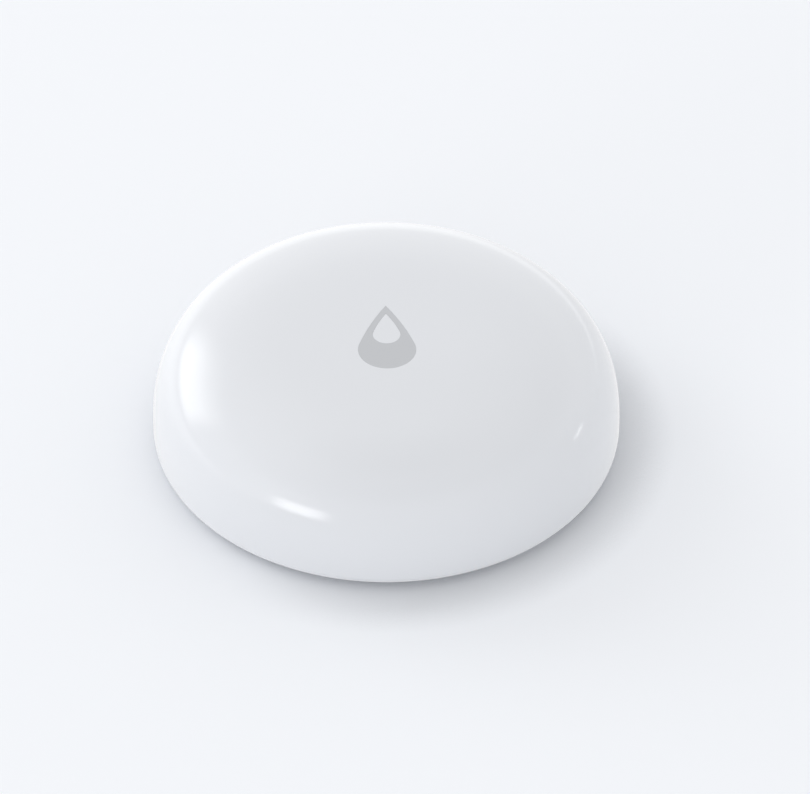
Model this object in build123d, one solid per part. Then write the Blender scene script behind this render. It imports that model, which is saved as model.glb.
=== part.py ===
from build123d import *
import math
import os

# Water leak sensor: a pebble-shaped puck that lies on the floor and senses water between two probes.
# All lengths are in millimetres and all angles in degrees.
# The origin is the middle of the footprint, on the floor. +Z is up, and the front faces -Y.

# The body is sized from the inside out. Across it: the coin cell, the door round it, the probes beside the
# door and the hooks outside the tray come to 50 mm. Upwards: the door, the cell, the board, the switch, the
# diaphragm and the cover's post come to 15 mm.

# Body outline
widest_height = 2.0
rim_height = 0.6
rim_draw_in = 1.6
side_power = 4.3
crown_power = 2.6
profile_steps = 16

# Clearances shared by several pieces
touch_gap = 0.02
close_gap = 0.05
running_gap = 0.1
fitting_gap = 0.2
loose_gap = 0.3
cut_overrun = 1.0

# Top cover
cover_side_wall = 2.0
cover_crown_wall = 1.5
post_radius = 2.2
post_length = 3.36
crown_rib_count = 6
crown_rib_thickness = 0.8
crown_rib_depth = 1.1
crown_rib_reach = 11.0
hook_count = 4
first_hook_angle = 45.0
hook_half_angle = 8.0
hook_arm_thickness = 1.0
hook_bite = 0.45
hook_nose_height = 1.1
hook_root_depth = 0.9

# Drop sign let into the crown
drop_width = 6.1
drop_length = 10.2
drop_tip_y = 3.4
drop_flank_angle = 18.0
window_share = 0.48
window_tip_inset = 1.28
inlay_thickness = 0.4

# Base housing
foot_height = 0.5
base_floor_thickness = 1.4
rim_gap = 0.4
hook_room = 3.0
tray_wall = 1.5
foot_width = 2.2
foot_inset = 0.4
foot_start_angle = 30.0
foot_edge_round = 0.2
ledge_thickness = 1.0
ledge_rise = 2.7
ledge_half_angle = 10.0
guide_rib_half_angle = 1.2
guide_rib_height = 5.0
guide_rib_reach = 1.8
window_margin = 0.25
mark_radius = 0.45
mark_depth = 0.2
mark_inset = 1.1

# Coin cell, a standard size
cell_diameter = 20.0
cell_height = 3.2
cell_can_wall = 0.3
cell_cap_proud = 0.3
cell_lip_width = 0.65
cell_lip_thickness = 0.2
cell_gasket_width = 0.7
cell_gasket_proud = 0.1
cell_cap_wall = 0.25
cell_cap_skirt = 1.6

# Battery door
door_plate_thickness = 1.45
door_flange_thickness = 1.2
door_skirt_wall = 0.7
door_lip = 0.55
door_edge_round = 0.25
lug_count = 3
lug_half_angle = 14.0
lug_reach = 0.6
lug_thickness = 0.7
lug_ledge_thickness = 1.1
lug_play_angle = 1.0
unlock_angle = 35.0
collar_roof = 0.55
collar_wall = 1.5
coin_slot_length = 15.0
coin_slot_width = 1.9
coin_slot_depth = 0.9
pointer_width = 1.6
pointer_length = 1.5

# Seal ring under the door's flange
seal_land = 0.25
seal_groove_width = 1.0
seal_groove_depth = 0.7

# Probe screws, their seals and the brass inserts that they are driven into
probe_web = 1.1
probe_cover_wall = 0.7
probe_head_radius = 2.4
probe_head_thickness = 1.1
probe_floor_gap = 0.2
probe_head_round = 0.3
probe_shank_radius = 1.25
probe_shank_length = 3.3
probe_seal_width = 0.75
probe_seal_depth = 0.7
insert_wall = 0.65
insert_length = 2.8
insert_boss_wall = 0.9
insert_groove_depth = 0.25
insert_groove_width = 0.5

# Cross recess shared by all the screws, as shares of each head
recess_length_share = 1.15
recess_width_share = 0.28
recess_depth_share = 0.55

# Circuit board and what fastens it
contact_room = 0.7
board_thickness = 1.0
board_edge_gap = 0.4
board_shoulder = 0.6
board_screw_angle = 20.0
board_boss_radius = 1.6

# Small screws
screw_radius = 0.8
screw_head_radius = 1.4
screw_head_thickness = 0.7
board_screw_length = 3.6
clamp_screw_length = 5.0

# Clamp ring and the silicone diaphragm under it
clamp_boss_radius = 1.8
clamp_screw_inset = 1.5
clamp_ring_thickness = 1.0
clamp_ring_width = 4.6
clamp_ring_chamfer = 0.9
diaphragm_rim_thickness = 0.8
diaphragm_web_thickness = 0.45
diaphragm_roll_radius = 1.2
diaphragm_roll_gap = 0.35
diaphragm_boss_radius = 3.0
diaphragm_boss_height = 1.2

# Push switch
switch_width = 5.2
switch_body_height = 1.3
switch_frame_thickness = 0.2
switch_frame_margin = 0.3
switch_cavity_radius = 1.95
switch_floor_thickness = 0.25
switch_dome_rise = 0.4
switch_dome_thickness = 0.1
plunger_radius = 1.1
plunger_flange_radius = 1.6
plunger_flange_thickness = 0.3
plunger_rise = 0.5
terminal_length = 0.7
terminal_width = 0.6
terminal_thickness = 0.15
terminal_pitch = 3.6

# Contacts under the board
contact_thickness = 0.15
negative_spring_width = 4.0
negative_spring_length = 13.0
negative_spring_pad_share = 0.3
negative_spring_tip_share = 0.2
positive_clip_angle = 100.0
positive_clip_width = 3.0
positive_clip_reach = 1.8
positive_clip_foot = 2.2
probe_contact_width = 2.0
probe_contact_pad = 1.4
probe_contact_rise = 1.0
probe_contact_foot = 2.0

# Components on the board, with places as shares of the board's radius
radio_chip_size = 6.0
radio_chip_height = 0.9
radio_chip_place_shares = (-0.50, 0.17)
crystal_length = 3.2
crystal_width = 2.5
crystal_height = 0.75
crystal_place_shares = (-0.50, -0.22)
crystal_lid_margin = 0.25
crystal_lid_height = 0.25
led_length = 1.6
led_width = 0.8
led_base_height = 0.3
led_lens_height = 0.4
led_lens_share = 0.65
led_place_shares = (0.42, -0.42)
capacitor_length = 1.6
capacitor_width = 0.8
capacitor_height = 0.8
capacitor_place_shares = (
    (-0.78, 0.17), (-0.50, -0.42), (-0.28, -0.50), (-0.75, -0.02), (0.30, 0.20), (0.30, 0.33),
    (0.58, 0.08), (0.58, -0.10),
)
resistor_length = 1.6
resistor_width = 0.8
resistor_height = 0.45
resistor_place_shares = (
    (0.42, -0.58), (0.20, -0.58), (-0.06, -0.58), (0.30, 0.46), (-0.28, 0.46), (-0.50, 0.46),
)
antenna_trace_width = 0.7
antenna_trace_thickness = 0.05
antenna_pitch = 1.5
antenna_height_share = 0.17
antenna_low_share = 0.62
antenna_leg_count = 8

# Radii that follow, from the coin cell outwards to the body's widest circle
cell_radius = cell_diameter / 2
skirt_inner_radius = cell_radius + loose_gap
skirt_outer_radius = skirt_inner_radius + door_skirt_wall
bore_radius = skirt_outer_radius + running_gap
lug_radius = skirt_outer_radius + lug_reach
lug_groove_radius = lug_radius + running_gap
seal_inner_radius = lug_groove_radius + seal_land
seal_outer_radius = seal_inner_radius + seal_groove_width
door_radius = seal_outer_radius + door_lip
door_recess_radius = door_radius + fitting_gap
collar_radius = door_recess_radius + collar_wall
board_screw_circle = (lug_groove_radius + collar_radius) / 2
probe_recess_radius = probe_head_radius + fitting_gap
probe_circle = door_recess_radius + probe_web + probe_recess_radius
insert_radius = probe_shank_radius + insert_wall
insert_boss_radius = insert_radius + insert_boss_wall
tray_outer_radius = probe_circle + insert_radius + probe_cover_wall
tray_inner_radius = tray_outer_radius - tray_wall
board_radius = tray_inner_radius - board_edge_gap
clamp_screw_circle = tray_inner_radius - clamp_screw_inset
clamp_ring_inner_radius = tray_outer_radius - clamp_ring_width
cover_inner_radius = tray_outer_radius + hook_room
flange_radius = cover_inner_radius - rim_gap
hook_arm_outer_radius = tray_outer_radius + guide_rib_reach + fitting_gap
hook_arm_inner_radius = hook_arm_outer_radius - hook_arm_thickness
hook_nose_radius = tray_outer_radius + (hook_arm_inner_radius - tray_outer_radius - hook_bite) / 2
ledge_radius = hook_arm_inner_radius - fitting_gap
body_radius = cover_inner_radius + cover_side_wall

# Heights above the floor that follow, from the door up to the cover's post
base_floor_top = foot_height + base_floor_thickness
door_flange_top = foot_height + door_flange_thickness
door_plate_top = foot_height + door_plate_thickness
recess_ceiling = door_flange_top + close_gap
lug_bottom = recess_ceiling + lug_ledge_thickness + close_gap
lug_top = lug_bottom + lug_thickness
lug_groove_top = lug_top + close_gap
collar_top = lug_groove_top + collar_roof
cell_bottom = door_plate_top + close_gap
cell_top = cell_bottom + cell_height
board_bottom = cell_top + contact_room
board_top = board_bottom + board_thickness
switch_body_top = board_top + switch_body_height
switch_top = switch_body_top + switch_frame_thickness
plunger_top = switch_top + plunger_rise
tray_top = switch_top
diaphragm_rim_top = tray_top + diaphragm_rim_thickness
clamp_ring_top = diaphragm_rim_top + clamp_ring_thickness
diaphragm_boss_bottom = plunger_top + touch_gap
diaphragm_boss_top = diaphragm_boss_bottom + diaphragm_boss_height
post_bottom = diaphragm_boss_top + touch_gap
cover_inner_top = post_bottom + post_length
body_height = cover_inner_top + cover_crown_wall
ledge_height = base_floor_top + ledge_rise
probe_head_top = probe_floor_gap + probe_head_thickness
insert_bottom = probe_head_top + probe_seal_depth + fitting_gap
insert_top = insert_bottom + insert_length

# Evenly spread angles
hook_angles = [first_hook_angle + 360 * i / hook_count for i in range(hook_count)]
lug_angles = [90 + 360 * i / lug_count for i in range(lug_count)]
board_screw_angles = [board_screw_angle, board_screw_angle + 180]
probe_sides = (-1, 1)

os.makedirs("parts", exist_ok=True)


# Shape helpers

def disc(radius, low, high, x=0, y=0):
    """Upright cylinder between two heights."""
    return Pos(x, y, low) * Cylinder(radius, high - low, align=(Align.CENTER, Align.CENTER, Align.MIN))


def ring(outer, inner, low, high, x=0, y=0):
    """Upright ring between two heights."""
    return disc(outer, low, high, x, y) - disc(inner, low, high, x, y)


def section(inner, outer, low, high):
    """Upright rectangle in the XZ plane, ready to be turned about Z."""
    return Plane.XZ * Pos((inner + outer) / 2, (low + high) / 2) * Rectangle(outer - inner, high - low)


def sector(inner, outer, low, high, start, end):
    """Piece of a ring between two heights and two angles."""
    turned = revolve(section(inner, outer, low, high), Axis.Z, revolution_arc=end - start)
    return Rot(0, 0, start) * turned


def turned_outline(points):
    """Solid of revolution about Z with the given outline of radius and height."""
    return revolve(Plane.XZ * make_face(Polyline(*points, close=True)), Axis.Z)


def block(length, width, low, high, x=0, y=0):
    """Upright box between two heights."""
    return Pos(x, y, low) * Box(length, width, high - low, align=(Align.CENTER, Align.CENTER, Align.MIN))


def on_circle(radius, angle):
    """X and Y of a place on a circle about the origin."""
    return radius * math.cos(math.radians(angle)), radius * math.sin(math.radians(angle))


def cross_recess(head_radius, low, high):
    """Two crossed bars that cut a cross recess in a screw's head."""
    length = head_radius * recess_length_share
    width = head_radius * recess_width_share
    return block(length, width, low, high) + block(width, length, low, high)


def small_screw(seat, length):
    """Pan-head screw standing on Z, with the underside of its head at the given height."""
    head_top = seat + screw_head_thickness
    head = disc(screw_head_radius, seat, head_top)
    head = fillet(head.edges().group_by(Axis.Z)[-1], screw_head_thickness / 2)
    recess_floor = head_top - screw_head_thickness * recess_depth_share
    head -= cross_recess(screw_head_radius, recess_floor, head_top + cut_overrun)
    return head + disc(screw_radius, seat - length, seat)


def bent_strip(points, thickness, width):
    """Sheet strip in the XZ plane whose underside follows the points, centred on Y."""
    top = [(x, z + thickness) for x, z in reversed(points)]
    face = Plane.XZ * make_face(Polyline(*points, *top, close=True))
    return extrude(face, width / 2, both=True)


def group(pieces):
    """Separate solids kept together under one name."""
    return Compound(children=[solid for piece in pieces for solid in piece.solids()])


def save(shape, name):
    """Write one named piece."""
    shape.label = name
    export_step(shape, f"parts/{name}.step")


# Body outline

def crown_points(radius, top):
    """Points of the pebble's curve, from its widest circle up to the middle of the crown."""
    points = []
    for i in range(profile_steps + 1):
        turn = math.pi / 4 * (1 - math.cos(math.pi * i / profile_steps))
        across = math.cos(turn) ** (2 / side_power) if i < profile_steps else 0
        up = math.sin(turn) ** (2 / crown_power)
        points.append((radius * across, widest_height + (top - widest_height) * up))
    return points


def pebble(radius, top, low, draw_in):
    """Solid pebble with its widest circle at the given radius and its flat bottom at the height low."""
    curve = Spline(*crown_points(radius, top), tangents=[(0, 1), (-1, 0)])
    edge = EllipticalCenterArc((radius - draw_in, widest_height), draw_in, widest_height - low, 270, arc_size=90)
    bottom = Line((0, low), (radius - draw_in, low))
    middle = Line((0, top), (0, low))
    return revolve(Plane.XZ * make_face([curve, edge, bottom, middle]), Axis.Z)


def cover_hollow():
    """Space inside the cover, open at the rim."""
    curve = Spline(*crown_points(cover_inner_radius, cover_inner_top), tangents=[(0, 1), (-1, 0)])
    low = rim_height - cut_overrun
    wall = Line((cover_inner_radius, widest_height), (cover_inner_radius, low))
    bottom = Line((cover_inner_radius, low), (0, low))
    middle = Line((0, low), (0, cover_inner_top))
    return revolve(Plane.XZ * make_face([curve, wall, bottom, middle]), Axis.Z)


# Drop sign

def drop_face(width, tip_y):
    """Water drop of a half circle and a bit, with two gently bowed flanks up to its tip."""
    radius = width / 2
    length = width * drop_length / drop_width
    middle_y = tip_y - length + radius
    side_x = radius * math.cos(math.radians(drop_flank_angle))
    side_y = middle_y + radius * math.sin(math.radians(drop_flank_angle))
    lean = (-math.sin(math.radians(drop_flank_angle)), math.cos(math.radians(drop_flank_angle)))
    right = TangentArc((side_x, side_y), (0, tip_y), tangent=lean)
    left = TangentArc((-side_x, side_y), (0, tip_y), tangent=(-lean[0], lean[1]))
    bowl = ThreePointArc((-side_x, side_y), (0, middle_y - radius), (side_x, side_y))
    return make_face([right, left, bowl])


def drop_prism():
    """Drop with a smaller drop cut out of it, standing through the crown down to the inlay's seat."""
    face = drop_face(drop_width, drop_tip_y)
    face -= drop_face(drop_width * window_share, drop_tip_y - window_tip_inset)
    return Pos(0, 0, body_height - inlay_thickness) * extrude(face, inlay_thickness + cut_overrun)


# Top cover

def snap_hook(angle):
    """Snap arm that hangs inside the cover's side, with its nose turned in under the tray's ledge."""
    nose_top = ledge_height - close_gap
    nose_bottom = nose_top - hook_nose_height
    arm_top = crown_height_at(hook_arm_inner_radius) + hook_root_depth
    start, end = angle - hook_half_angle, angle + hook_half_angle
    arm = sector(hook_arm_inner_radius, hook_arm_outer_radius, nose_bottom, arm_top, start, end)
    nose = sector(hook_nose_radius, hook_arm_outer_radius, nose_bottom, nose_top, start, end)
    return arm + nose


def crown_height_at(radius):
    """Height of the cover's inner surface at a radius."""
    share = (radius / cover_inner_radius) ** side_power
    return widest_height + (cover_inner_top - widest_height) * (1 - share) ** (1 / crown_power)


def crown_ribs():
    """Thin ribs that stiffen the crown round the press post."""
    low = cover_inner_top - crown_rib_depth
    ribs = []
    for i in range(crown_rib_count):
        rib = block(crown_rib_reach, crown_rib_thickness, low, body_height - cover_crown_wall / 2,
                    crown_rib_reach / 2)
        ribs.append(Rot(0, 0, 360 * i / crown_rib_count) * rib)
    return ribs


def top_cover():
    """Glossy one-piece shell that is itself the button."""
    outside = pebble(body_radius, body_height, rim_height, rim_draw_in)
    shell = outside - cover_hollow()
    shell += disc(post_radius, post_bottom, cover_inner_top + cover_crown_wall / 2)
    for rib in crown_ribs():
        shell += rib
    for angle in hook_angles:
        shell += snap_hook(angle)
    return shell - drop_prism()


def drop_inlay():
    """Grey drop, flush with the crown."""
    return drop_prism() & pebble(body_radius, body_height, rim_height, rim_draw_in)


# Base housing

def base_tray():
    """Floor, upright wall, battery collar and the feet of the base."""
    tray = disc(flange_radius, foot_height, base_floor_top)
    tray += ring(tray_outer_radius, tray_inner_radius, foot_height, tray_top)
    tray += disc(collar_radius, foot_height, collar_top)
    foot_outer = tray_outer_radius - foot_inset
    for turn in (0, 180):
        foot = sector(foot_outer - foot_width, foot_outer, 0, foot_height, turn + foot_start_angle,
                      turn + 180 - foot_start_angle)
        foot = fillet(foot.edges().group_by(Axis.Z)[0], foot_edge_round)
        tray += foot
    return tray


def clamp_bosses():
    """Stepped bosses: the board rests on their shoulders, and the clamp ring is screwed to their tops."""
    bosses = []
    for angle in hook_angles:
        x, y = on_circle(clamp_screw_circle, angle)
        boss = disc(clamp_boss_radius + board_shoulder, foot_height, board_bottom, x, y)
        boss += disc(clamp_boss_radius, foot_height, tray_top, x, y)
        bosses.append(boss & disc(tray_outer_radius, foot_height, tray_top))
    return bosses


def snap_ledges():
    """Ledges on the wall that hold the hooks, with a guide rib on both sides of each."""
    pieces = []
    root = tray_outer_radius - tray_wall / 2
    for angle in hook_angles:
        pieces.append(sector(root, ledge_radius, ledge_height, ledge_height + ledge_thickness,
                             angle - ledge_half_angle, angle + ledge_half_angle))
        for side in (-1, 1):
            middle = angle + side * (ledge_half_angle + guide_rib_half_angle)
            pieces.append(sector(root, tray_outer_radius + guide_rib_reach, base_floor_top - close_gap,
                                 base_floor_top + guide_rib_height, middle - guide_rib_half_angle,
                                 middle + guide_rib_half_angle))
    return pieces


def door_opening():
    """Recess for the door, bore for its skirt, groove for its lugs and the slots that let them in."""
    opening = disc(door_recess_radius, foot_height - cut_overrun, recess_ceiling)
    opening += disc(bore_radius, foot_height - cut_overrun, collar_top + cut_overrun)
    start = -unlock_angle - lug_half_angle - lug_play_angle
    for angle in lug_angles:
        opening += sector(cell_radius, lug_groove_radius, lug_bottom - close_gap, lug_groove_top,
                          angle + start, angle + lug_half_angle + lug_play_angle)
        opening += sector(cell_radius, lug_groove_radius, foot_height, lug_groove_top,
                          angle + start, angle + start + 2 * (lug_half_angle + lug_play_angle))
    return opening


def probe_bores():
    """Recess, seal groove and insert seat of both probes."""
    cuts = []
    for side in probe_sides:
        x = side * probe_circle
        cut = disc(probe_recess_radius, foot_height - cut_overrun, probe_head_top, x)
        cut += disc(probe_shank_radius + probe_seal_width, probe_head_top - close_gap,
                    probe_head_top + probe_seal_depth, x)
        cut += disc(probe_shank_radius, probe_head_top, insert_bottom + fitting_gap, x)
        cut += insert_body(x)
        cut += disc(probe_shank_radius, insert_bottom, insert_top + cut_overrun, x)
        cuts.append(cut)
    return cuts


def lock_marks():
    """Round marks beside the door: a dot where its pointer rests when locked, a ring where it is open."""
    radius = door_recess_radius + mark_inset
    dot_x, dot_y = on_circle(radius, -90)
    ring_x, ring_y = on_circle(radius, -90 - unlock_angle)
    low, high = foot_height - cut_overrun, foot_height + mark_depth
    return [disc(mark_radius, low, high, dot_x, dot_y),
            ring(mark_radius, mark_radius / 2, low, high, ring_x, ring_y)]


def base_housing():
    """Moulded base: tray, collar, bosses, ledges and feet in one piece."""
    base = base_tray()
    for piece in clamp_bosses() + snap_ledges():
        base += piece
    for side in probe_sides:
        base += disc(insert_boss_radius, foot_height, insert_top, side * probe_circle)
    for angle in board_screw_angles:
        x, y = on_circle(board_screw_circle, angle)
        base += disc(board_boss_radius, collar_top - close_gap, board_bottom, x, y)
        base -= disc(screw_radius, board_top - board_screw_length, board_bottom + cut_overrun, x, y)
    for angle in hook_angles:
        x, y = on_circle(clamp_screw_circle, angle)
        base -= disc(screw_radius, clamp_ring_top - clamp_screw_length, tray_top + cut_overrun, x, y)
        base -= sector(tray_outer_radius + window_margin, flange_radius - 2 * window_margin,
                       foot_height - cut_overrun, base_floor_top + cut_overrun,
                       angle - hook_half_angle, angle + hook_half_angle)
    base -= door_opening()
    for cut in probe_bores() + lock_marks():
        base -= cut
    return base


# Battery door

def battery_door():
    """Round door with a coin slot, a skirt round the cell and bayonet lugs."""
    flange = disc(door_radius, foot_height, door_flange_top)
    flange = fillet(flange.edges().group_by(Axis.Z)[0], door_edge_round)
    door = flange + disc(skirt_outer_radius, foot_height, door_plate_top)
    door += ring(skirt_outer_radius, skirt_inner_radius, door_flange_top, lug_top)
    for angle in lug_angles:
        door += sector(skirt_inner_radius + door_skirt_wall / 2, lug_radius, lug_bottom, lug_top,
                       angle - lug_half_angle, angle + lug_half_angle)
    door -= ring(seal_outer_radius, seal_inner_radius, door_flange_top - seal_groove_depth,
                 door_flange_top + cut_overrun)
    door -= coin_slot()
    return door - door_pointer()


def coin_slot():
    """Slot with round ends across the door's underside."""
    face = SlotOverall(coin_slot_length, coin_slot_width)
    return Pos(0, 0, foot_height - cut_overrun) * extrude(face, coin_slot_depth + cut_overrun)


def door_pointer():
    """Small triangle sunk in the door's underside, pointing at the locked mark."""
    tip_y = -door_radius + mark_inset
    back_y = tip_y + pointer_length
    face = make_face(Polyline((0, tip_y), (pointer_width / 2, back_y), (-pointer_width / 2, back_y), close=True))
    return Pos(0, 0, foot_height - cut_overrun) * extrude(face, mark_depth + cut_overrun)


def door_seal():
    """Seal ring in the door's groove, drawn as squeezed by the base."""
    low = door_flange_top - seal_groove_depth
    high = recess_ceiling - touch_gap
    body = ring(seal_outer_radius - touch_gap, seal_inner_radius + touch_gap, low, high)
    return fillet(body.edges(), seal_groove_depth / 3)


# Coin cell

def cell_can():
    """Steel can, the positive pole, with its lip rolled in over the gasket."""
    top = cell_top - cell_cap_proud
    can = disc(cell_radius, cell_bottom, top)
    can -= disc(cell_radius - cell_can_wall, cell_bottom + cell_can_wall, top - cell_lip_thickness)
    can -= disc(cell_radius - cell_lip_width, cell_bottom + cell_can_wall, top + cut_overrun)
    return fillet(can.edges().group_by(Axis.Z)[0], cell_can_wall)


def cell_gasket():
    """Plastic gasket that keeps the can and the cap apart."""
    lip_low = cell_top - cell_cap_proud - cell_lip_thickness
    outer = cell_radius - cell_can_wall
    inner = outer - cell_gasket_width
    low = cell_top - cell_cap_skirt
    body = ring(outer, inner, low, lip_low)
    neck = ring(cell_radius - cell_lip_width, inner, low, cell_top - cell_cap_proud + cell_gasket_proud)
    return body + neck


def cell_cap():
    """Steel cap, the negative pole."""
    outer = cell_radius - cell_can_wall - cell_gasket_width
    cap = disc(outer, cell_top - cell_cap_skirt, cell_top)
    cap = fillet(cap.edges().group_by(Axis.Z)[-1], cell_cap_wall)
    return cap - disc(outer - cell_cap_wall, cell_top - cell_cap_skirt - cut_overrun, cell_top - cell_cap_wall)


def cell_pellet():
    """Pressed electrodes and separator inside the cell."""
    radius = cell_radius - cell_can_wall - cell_gasket_width - cell_cap_wall - touch_gap
    return disc(radius, cell_bottom + cell_can_wall, cell_top - cell_cap_wall)


# Probes

def probe_screw(x):
    """Flat-headed steel screw whose head is one of the two probes."""
    head = disc(probe_head_radius, probe_floor_gap, probe_head_top)
    head = fillet(head.edges().group_by(Axis.Z)[0], probe_head_round)
    depth = probe_head_thickness * recess_depth_share
    head -= cross_recess(probe_head_radius, -cut_overrun, probe_floor_gap + depth)
    return Pos(x, 0, 0) * (head + disc(probe_shank_radius, probe_head_top, probe_head_top + probe_shank_length))


def probe_seal(x):
    """Small seal ring under a probe's head."""
    outer = probe_shank_radius + probe_seal_width - touch_gap
    body = ring(outer, probe_shank_radius, probe_head_top, probe_head_top + probe_seal_depth - touch_gap)
    outside = body.edges().filter_by(GeomType.CIRCLE).sort_by(SortBy.RADIUS)[-2:]
    return Pos(x, 0, 0) * fillet(outside, probe_seal_depth / 3)


def insert_body(x):
    """Outside of a brass insert, with the groove that keys it in the plastic."""
    middle = (insert_bottom + insert_top) / 2
    body = disc(insert_radius, insert_bottom, insert_top, x)
    low, high = middle - insert_groove_width / 2, middle + insert_groove_width / 2
    return body - ring(insert_radius + cut_overrun, insert_radius - insert_groove_depth, low, high, x)


def probe_insert(x):
    """Brass threaded insert moulded into the base."""
    return insert_body(x) - disc(probe_shank_radius, insert_bottom, insert_top + cut_overrun, x)


def probe_contact(side):
    """Spring strip from an insert's top face up to its pad under the board."""
    low = insert_top
    high = board_bottom - contact_thickness
    start = probe_circle + probe_contact_pad / 2
    bend = start - probe_contact_pad - insert_wall
    rise_end = bend - probe_contact_rise
    points = [(start, low), (bend, low), (rise_end, high), (rise_end - probe_contact_foot, high)]
    strip = bent_strip(points, contact_thickness, probe_contact_width)
    return strip if side > 0 else Rot(0, 0, 180) * strip


# Battery contacts

def negative_spring():
    """Leaf soldered under the board, whose free end presses on the cell's cap."""
    high = board_bottom - contact_thickness
    half = negative_spring_length / 2
    pad_end = -half + negative_spring_length * negative_spring_pad_share
    tip_start = half - negative_spring_length * negative_spring_tip_share
    points = [(-half, high), (pad_end, high), (tip_start, cell_top), (half, cell_top)]
    return bent_strip(points, contact_thickness, negative_spring_width)


def positive_clip(turn):
    """Angled clip soldered under the board, whose blade stands against the cell's can."""
    blade_outer = cell_radius + touch_gap + contact_thickness
    blade = block(contact_thickness, positive_clip_width, board_bottom - positive_clip_reach, board_bottom,
                  blade_outer - contact_thickness / 2)
    foot = block(positive_clip_foot, positive_clip_width, board_bottom - contact_thickness, board_bottom,
                 blade_outer + positive_clip_foot / 2 - contact_thickness)
    return Rot(0, 0, turn) * (blade + foot)


# Circuit board and its components

def main_board():
    """Round board, notched round the clamp bosses."""
    board = disc(board_radius, board_bottom, board_top)
    for angle in hook_angles:
        x, y = on_circle(clamp_screw_circle, angle)
        board -= disc(clamp_boss_radius + fitting_gap, board_bottom - cut_overrun, board_top + cut_overrun, x, y)
        outer_x, outer_y = on_circle(board_radius, angle)
        board -= disc(clamp_boss_radius + fitting_gap, board_bottom - cut_overrun, board_top + cut_overrun,
                      outer_x, outer_y)
    for angle in board_screw_angles:
        x, y = on_circle(board_screw_circle, angle)
        board -= disc(screw_radius + running_gap, board_bottom - cut_overrun, board_top + cut_overrun, x, y)
    return board


def at_share(place_shares):
    """X and Y of a place on the board."""
    return board_radius * place_shares[0], board_radius * place_shares[1]


def radio_chip():
    """Radio and processor chip, with a round mark at its first pin."""
    x, y = at_share(radio_chip_place_shares)
    top = board_top + radio_chip_height
    chip = block(radio_chip_size, radio_chip_size, board_top, top, x, y)
    corner = radio_chip_size / 2 - radio_chip_height
    return chip - disc(mark_radius, top - mark_depth / 2, top + cut_overrun, x - corner, y + corner)


def crystal():
    """Quartz crystal: a ceramic tray with a smaller metal lid."""
    x, y = at_share(crystal_place_shares)
    split = board_top + crystal_height - crystal_lid_height
    tray = block(crystal_length, crystal_width, board_top, split, x, y)
    lid = block(crystal_length - 2 * crystal_lid_margin, crystal_width - 2 * crystal_lid_margin, split,
                board_top + crystal_height, x, y)
    return tray + lid


def indicator_led():
    """Small lamp that glows through the cover."""
    x, y = at_share(led_place_shares)
    split = board_top + led_base_height
    base = block(led_length, led_width, board_top, split, x, y)
    lens = block(led_length * led_lens_share, led_width, split, split + led_lens_height, x, y)
    return base + lens


def chip_parts(length, width, height, places):
    """Small two-ended components lying on the board."""
    return group([block(length, width, board_top, board_top + height, *at_share(place)) for place in places])


def antenna_trace():
    """Copper meander at the back edge of the board."""
    low_y = board_radius * antenna_low_share
    leg_height = board_radius * antenna_height_share
    top = board_top + antenna_trace_thickness
    first_x = -antenna_pitch * (antenna_leg_count - 1) / 2
    trace = None
    for i in range(antenna_leg_count):
        x = first_x + antenna_pitch * i
        leg = block(antenna_trace_width, leg_height, board_top, top, x, low_y + leg_height / 2)
        trace = leg if trace is None else trace + leg
        if i < antenna_leg_count - 1:
            end = leg_height - antenna_trace_width / 2 if i % 2 == 0 else antenna_trace_width / 2
            trace += block(antenna_pitch + antenna_trace_width, antenna_trace_width, board_top, top,
                           x + antenna_pitch / 2, low_y + end)
    return trace


# Push switch

def switch_body():
    """Black moulded body with a round well for the dome and the plunger."""
    body = block(switch_width, switch_width, board_top, switch_body_top)
    return body - disc(switch_cavity_radius, board_top + switch_floor_thickness, switch_body_top + cut_overrun)


def switch_dome():
    """Snap dome, a thin cap of a sphere standing on its edge."""
    radius = switch_cavity_radius - close_gap
    ball_radius = (radius ** 2 + switch_dome_rise ** 2) / (2 * switch_dome_rise)
    floor = board_top + switch_floor_thickness
    middle = floor + switch_dome_rise - ball_radius
    outer = Pos(0, 0, middle) * Sphere(ball_radius)
    inner = Pos(0, 0, middle) * Sphere(ball_radius - switch_dome_thickness)
    return (outer - inner) & disc(radius, floor, switch_body_top)


def switch_frame():
    """Steel plate that closes the switch round its plunger."""
    side = switch_width - 2 * switch_frame_margin
    plate = block(side, side, switch_body_top, switch_top)
    return plate - disc(plunger_radius + running_gap, board_top, switch_top + cut_overrun)


def switch_plunger():
    """Plunger with a flange trapped under the plate."""
    flange_low = board_top + switch_floor_thickness + switch_dome_rise + touch_gap
    stem = disc(plunger_radius, flange_low, plunger_top)
    stem = fillet(stem.edges().group_by(Axis.Z)[-1], plunger_rise / 4)
    return stem + disc(plunger_flange_radius, flange_low, flange_low + plunger_flange_thickness)


def switch_terminals():
    """Four soldered legs beside the switch."""
    legs = []
    for x_side in (-1, 1):
        for y_side in (-1, 1):
            legs.append(block(terminal_length, terminal_width, board_top, board_top + terminal_thickness,
                              x_side * (switch_width + terminal_length) / 2, y_side * terminal_pitch / 2))
    return group(legs)


# Diaphragm, clamp ring and screws

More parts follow.
